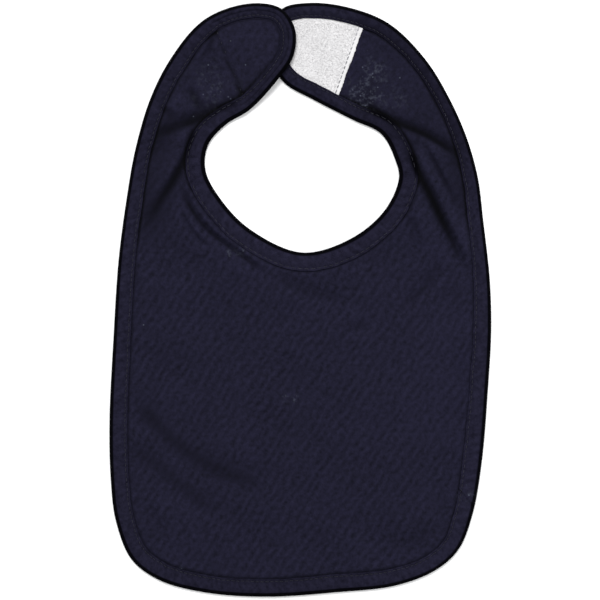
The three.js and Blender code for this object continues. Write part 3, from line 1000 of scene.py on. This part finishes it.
# ---------------- materials
NAVY = (0.0084, 0.0079, 0.0184)
NAVY_BINDING = (0.0096, 0.0090, 0.0187)
NAVY_THREAD = (0.0094, 0.0094, 0.0206)
TAPE_WHITE = (0.563, 0.556, 0.562)
TAPE_THREAD = (0.38, 0.38, 0.41)
LINT_SMUDGE = (0.042, 0.046, 0.066)
LINT_SPECK = (0.055, 0.062, 0.085)
KNIT_COLUMN = 0.8  # width of a column of knitted stitches
KNIT_ROW = 0.68
RIB_PITCH = 4.6
RIB_ANGLE = math.radians(56)  # of the ribs from across the cloth
WEAVE_PITCH = 0.45  # of the hook tape's ground cloth
THREAD_TWIST = 0.55  # along a thread from one twist to the next


class Value:
    """An output of a node. Arithmetic on it adds Math nodes."""

    def __init__(self, nodes, socket):
        self.nodes = nodes
        self.socket = socket

    def other(self, key):
        """Another output of the same node."""
        return Value(self.nodes, self.socket.node.outputs[key])

    def math(self, operation, *others):
        return self.nodes.add("Math", self, *others, operation=operation)

    def __add__(self, other):
        return self.math("ADD", other)

    def __sub__(self, other):
        return self.math("SUBTRACT", other)

    def __mul__(self, other):
        return self.math("MULTIPLY", other)

    def __truediv__(self, other):
        return self.math("DIVIDE", other)

    def wave(self, function="SINE"):
        """A wave with one crest for each unit of the value."""
        return (self * math.tau).math(function)

    def ramp(self, low, high, to_low=0.0, to_high=1.0):
        """The value carried smoothly from low..high to to_low..to_high, and held there beyond."""
        return self.nodes.add("MapRange", self, low, high, to_low, to_high, interpolation_type="SMOOTHSTEP")


class Nodes:
    """A material's node tree, built a node at a time."""

    def __init__(self, name):
        self.material = bpy.data.materials.new(name)
        self.material.use_nodes = True
        self.tree = self.material.node_tree
        self.shader = self.tree.nodes["Principled BSDF"]

    def add(self, kind, *values, output=0, inputs=(), **settings):
        """An output of a new node. values feed its inputs in order, inputs is more of them as (key,
        value) pairs, and None leaves one as it is."""
        node = self.tree.nodes.new("ShaderNode" + kind)
        for key, value in settings.items():
            setattr(node, key, value)
        for key, value in [*enumerate(values), *inputs]:
            self.feed(node.inputs[key], value)
        return Value(self, node.outputs[output])

    def feed(self, socket, value):
        if isinstance(value, Value):
            self.tree.links.new(value.socket, socket)
        elif value is not None:
            socket.default_value = value

    def noise(self, where, scale, detail=2.0, roughness=0.5):
        inputs = [("Vector", where), ("Scale", scale), ("Detail", detail), ("Roughness", roughness)]
        return self.add("TexNoise", output="Fac", inputs=inputs)

    def mix(self, share, a, b):
        """Colour a carried towards colour b by share."""
        ends = [(*end, 1) if isinstance(end, tuple) else end for end in (a, b)]
        return self.add("Mix", share, output=2, inputs=zip((6, 7), ends), data_type="RGBA")

    def shade(self, tone, colour, dark, light):
        """The colour times dark where tone is 0 or under, up to times light where it is 1 or over."""
        return self.mix(self.add("Clamp", tone), scale_colour(colour, dark), scale_colour(colour, light))

    def bump(self, height, distance, strength, normal=None):
        inputs = [("Strength", strength), ("Distance", distance), ("Height", height), ("Normal", normal)]
        return self.add("Bump", inputs=inputs)

    def cloth(self):
        """Coordinates on the flat cloth in millimetres, as (vector, across, along)."""
        flat = self.add("UVMap", uv_map="cloth")
        scaled = self.add("VectorMath", flat, (1 / MM, 1 / MM, 1 / MM), operation="MULTIPLY")
        across = self.add("SeparateXYZ", scaled)
        return scaled, across, across.other("Y")

    def finish(self, colour, roughness, normal, **plain):
        for key, value in (("Base Color", colour), ("Roughness", roughness), ("Normal", normal)):
            self.feed(self.shader.inputs[key], value)
        for key, value in plain.items():
            self.shader.inputs[key.replace("_", " ")].default_value = value
        return self.material


def scale_colour(colour, share):
    return tuple(c * share for c in colour)


def jersey_material(name, colour, rib_strength, patchiness, gloss):
    """Cotton jersey: fine knitted stitches, broken diagonal ribs, soft fuzz, painted light and shade, and a
    little lint.
    """
    n = Nodes(name)
    flat, x, y = n.cloth()
    painted_shading = n.add("Attribute", output="Fac", attribute_name="painted_shading")
    linty = n.add("Attribute", output="Fac", attribute_name="lint")
    # Knitted stitches are V shapes in columns.
    column = x / KNIT_COLUMN + (n.noise(flat, 0.11) - 0.5) * 0.9
    slope = (column.math("FRACT") - 0.5).math("ABSOLUTE")
    row = y / KNIT_ROW + slope * 1.1
    knit = row.wave() * 0.55 + column.wave("COSINE") * 0.45
    # The ribs are broken into short dashes, and fainter on the straps.
    over = x * math.sin(RIB_ANGLE) - y * math.cos(RIB_ANGLE)
    along = x * math.cos(RIB_ANGLE) + y * math.sin(RIB_ANGLE)
    rib = (over / RIB_PITCH + n.noise(flat, 0.07, 3.0) * 1.6).wave()
    dashes = n.noise(n.add("CombineXYZ", over * 0.32, along * 0.14), 1.0, 2.0) - 0.5
    broken = n.noise(flat, 0.16, 2.0).ramp(0.30, 0.58, 0.05, 1.0)
    rib = rib * (broken * y.ramp(40.0, 100.0, 1.0, 0.4)) * 0.8 + dashes * 2.2
    fuzz = n.noise(flat, 2.6, 4.0, 0.65)
    fibre = n.noise(flat, 0.38, 3.0, 0.7) - 0.5
    cloudy = n.noise(flat, patchiness, 3.0) - 0.5
    # Light and dark: the knit's random tone, fainter under painted shade, and the painted light and shade
    tone = (rib * (0.22 * rib_strength) + fibre * 2.0) * painted_shading.ramp(-0.6, 0.0, 0.45, 1.0)
    tone = tone + knit * 0.07 + 0.5 + cloudy * 0.35 + painted_shading * 0.35
    shade = n.shade(tone, colour, 0.50, 1.50)
    # Painted shade carries the colour almost to black where it is deepest, as on the binding's rolled edge.
    shade = n.mix(painted_shading.ramp(-0.15, -1.3), shade, scale_colour(colour, 0.06))
    # Lint: soft pale smudges, and a few brighter specks
    ragged = linty * n.noise(flat, 0.11, 3.0).ramp(0.35, 0.62, 0.2, 1.5)
    smudge = n.noise(flat, 0.40, 4.0, 0.7).ramp(0.45, 0.68) * ragged.ramp(0.0, 0.6, 0.0, 0.7)
    shade = n.mix(smudge, shade, LINT_SMUDGE)
    speck = n.add("TexVoronoi", inputs=[("Vector", flat), ("Scale", 0.7), ("Randomness", 1.0)])
    chosen = n.add("SeparateColor", speck.other("Color"))
    few = (linty * 0.28).math("GREATER_THAN", chosen)
    paleness = chosen.other(2).ramp(0.0, 1.0, 0.15, 0.9)
    shade = n.mix(speck.ramp(0.42, 0.10) * few * paleness, shade, LINT_SPECK)
    # Relief
    normal = n.bump(rib, 0.00030 * rib_strength, 0.8)
    normal = n.bump(knit, 0.00010, 0.8, normal)
    normal = n.bump(fuzz, 0.00026, 0.8, normal)
    return n.finish(
        shade, fibre.ramp(-0.3, 0.3, 0.82, 0.95), normal, Specular_IOR_Level=gloss,
        Sheen_Weight=gloss / 3, Sheen_Roughness=0.5, Sheen_Tint=(0.5, 0.5, 0.8, 1),
    )


def thread_material(name, colour):
    """Sewing thread: two plies twisted round each other, with a slight sheen."""
    n = Nodes(name)
    flat, along, around_it = n.cloth()
    ply = (along / THREAD_TWIST + around_it / 0.6).wave()
    fuzz = n.noise(flat, 5.0, 3.0)
    fading_and_painted_light = n.noise(flat, 0.035, 2.0).ramp(0.49, 0.66, -0.5, 0.1)
    shade = n.shade(ply * 0.25 + fuzz + fading_and_painted_light, colour, 0.4, 1.5)
    normal = n.bump(fuzz, 0.00005, 0.6, n.bump(ply, 0.00008, 0.9))
    return n.finish(
        shade, fuzz.ramp(0.3, 0.7, 0.5, 0.7), normal, Specular_IOR_Level=0.35, Sheen_Weight=0.1,
        Sheen_Roughness=0.4, Sheen_Tint=(0.7, 0.7, 0.85, 1),
    )


def tape_material(name, colour, woven):
    """The ground cloth of a hook or loop tape, woven or brushed."""
    n = Nodes(name)
    flat, x, y = n.cloth()
    if woven:
        ground = (x / WEAVE_PITCH).wave() * (y / WEAVE_PITCH).wave()
    else:
        ground = n.noise(flat, 1.3, 5.0, 0.7) - 0.5
    soil = n.noise(flat, 0.12, 3.0).ramp(0.3, 0.75)
    fine = n.noise(flat, 2.2, 4.0, 0.6)
    shade = n.shade(fine * 0.8 + soil * 0.25, colour, 0.80, 1.12)
    normal = n.bump(fine, 0.0002, 0.6, n.bump(ground, 0.00012, 0.7))
    roughness = fine.ramp(0.3, 0.7, 0.75, 0.9)
    return n.finish(shade, roughness, normal, Specular_IOR_Level=0.3, Sheen_Weight=0.1, Sheen_Roughness=0.5)


def pile_material(name, colour, roughness_low):
    """Nylon filament of hooks or loops."""
    n = Nodes(name)
    fine = n.noise(n.cloth()[0], 3.0, 2.0)
    roughness = fine.ramp(0.3, 0.7, roughness_low, roughness_low + 0.2)
    return n.finish(
        n.shade(fine, colour, 0.88, 1.15), roughness, n.bump(fine, 0.00005, 0.5), Specular_IOR_Level=0.4,
    )


FINISHES = {  # by material slot
    "jersey": [jersey_material("navy_jersey", NAVY, rib_strength=1.0, patchiness=0.035, gloss=0.06)],
    "binding_cloth": [
        jersey_material("navy_binding", NAVY_BINDING, rib_strength=0.55, patchiness=0.13, gloss=0.02),
    ],
    "navy_thread": [thread_material("navy_sewing_thread", NAVY_THREAD)],
    "grey_thread": [
        thread_material("grey_sewing_thread", TAPE_THREAD),
        thread_material("navy_bobbin_thread", scale_colour(NAVY_THREAD, 0.6)),
    ],
    "loop_tape": [
        tape_material("brushed_loop_ground", TAPE_WHITE, woven=False),
        pile_material("loop_filament", scale_colour(TAPE_WHITE, 0.97), roughness_low=0.6),
    ],
    "hook_tape": [
        tape_material("woven_hook_ground", scale_colour(TAPE_WHITE, 0.92), woven=True),
        pile_material("hook_filament", TAPE_WHITE, roughness_low=0.35),
    ],
}
for thing, _ in made.values():
    for material in FINISHES[thing["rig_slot"]]:
        thing.data.materials.append(material)


# ---------------- the body's pieces hung on it, and the rest baked where they lie
def metres(x, y, z=0.0):
    return (x * MM, y * MM, z * MM)


peel_end = [p + PEEL_BEND * d for p, d in zip(*PEEL_LINE)]
for name, (thing, part) in made.items():
    if part == "body":
        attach(thing, "bib_body")
    elif part == "left_tab":
        metres(*PEEL_LINE[0])
        metres(*peel_end)
        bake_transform(thing)
    else:
        metres(0, SHOULDER_Y)
        metres(0, SHOULDER_Y + STRAP_BEND)
        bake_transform(thing)


# ---------------- the sheets' flat sizes
def polygon_area(points):
    x, y = points[:, 0], points[:, 1]
    return abs(np.sum(x * np.roll(y, -1) - y * np.roll(x, -1))) / 2


def declare_flat(outline, rests_on):
    """Works out, for a cut piece that isn't a strip, its bounding rectangle and its cut area; nothing is
    done with them.
    """
    size = (outline.max(0) - outline.min(0)) * MM
    area = min(polygon_area(outline) * MM * MM, size[0] * size[1])


for name, (part, runs) in OUTLINES.items():
    outline = np.vstack(runs)
    declare_flat(outline, ["right_strap_binding"] if part == "left" else [])
    declare_flat(outline, [f"{name}_back_ply"])
declare_flat(patch_outline("right", LOOP_LINE)[0], ["right_strap_front_ply"])
declare_flat(patch_outline("left", HOOK_LINE)[0], ["loop_patch"])

# ---------------- floor, light and camera
FLOOR_REACH = 1.6
floor_mesh = bpy.data.meshes.new("floor")
corners = [(x * FLOOR_REACH, y * FLOOR_REACH, 0) for x, y in ((-1, -1), (1, -1), (1, 1), (-1, 1))]
floor_mesh.from_pydata(corners, [], [(0, 1, 2, 3)])
floor = placed("floor", floor_mesh)
paper = Nodes("white_paper")
grain = paper.noise(paper.add("TexCoord", output="Object"), 900.0, 3.0)
whiteness = paper.mix(grain, (0.90, 0.90, 0.905), (0.93, 0.93, 0.93))
paper.finish(whiteness, 0.9, paper.bump(grain, 0.00002, 0.3), Specular_IOR_Level=0.2)
floor_mesh.materials.append(paper.material)


def area_light(name, place, size, energy):
    """A round soft light, turned to the middle of the bib."""
    lamp = bpy.data.lights.new(name, "AREA")
    lamp.shape = "DISK"
    lamp.size = size
    lamp.energy = energy
    thing = placed(name, lamp)
    thing.location = place
    thing.rotation_mode = "QUATERNION"
    thing.rotation_quaternion = Vector(place).to_track_quat("Z", "Y")


area_light("key_light", (-0.35, 1.8, 2.1), size=1.5, energy=90.0)
area_light("fill_light", (1.3, -1.0, 2.0), size=1.8, energy=26.0)
world = bpy.data.worlds.new("studio")
world.use_nodes = True
background = world.node_tree.nodes["Background"].inputs
background["Color"].default_value = (0.98, 0.99, 1.0, 1)
background["Strength"].default_value = 0.54
bpy.context.scene.world = world
bpy.context.scene.view_settings.view_transform = "Standard"

CAMERA_HEIGHT = 1.6
CAMERA_OVER = (-0.00019, -0.00014)  # the place on the table that it looks straight down on
VIEW_WIDTH = 0.345  # of the table, across the picture
camera_data = bpy.data.cameras.new("camera")
camera = placed("camera", camera_data)
camera.location = (*CAMERA_OVER, CAMERA_HEIGHT)
camera_data.sensor_width = 36.0
camera_data.lens = camera_data.sensor_width * CAMERA_HEIGHT / VIEW_WIDTH
bpy.context.scene.camera = camera
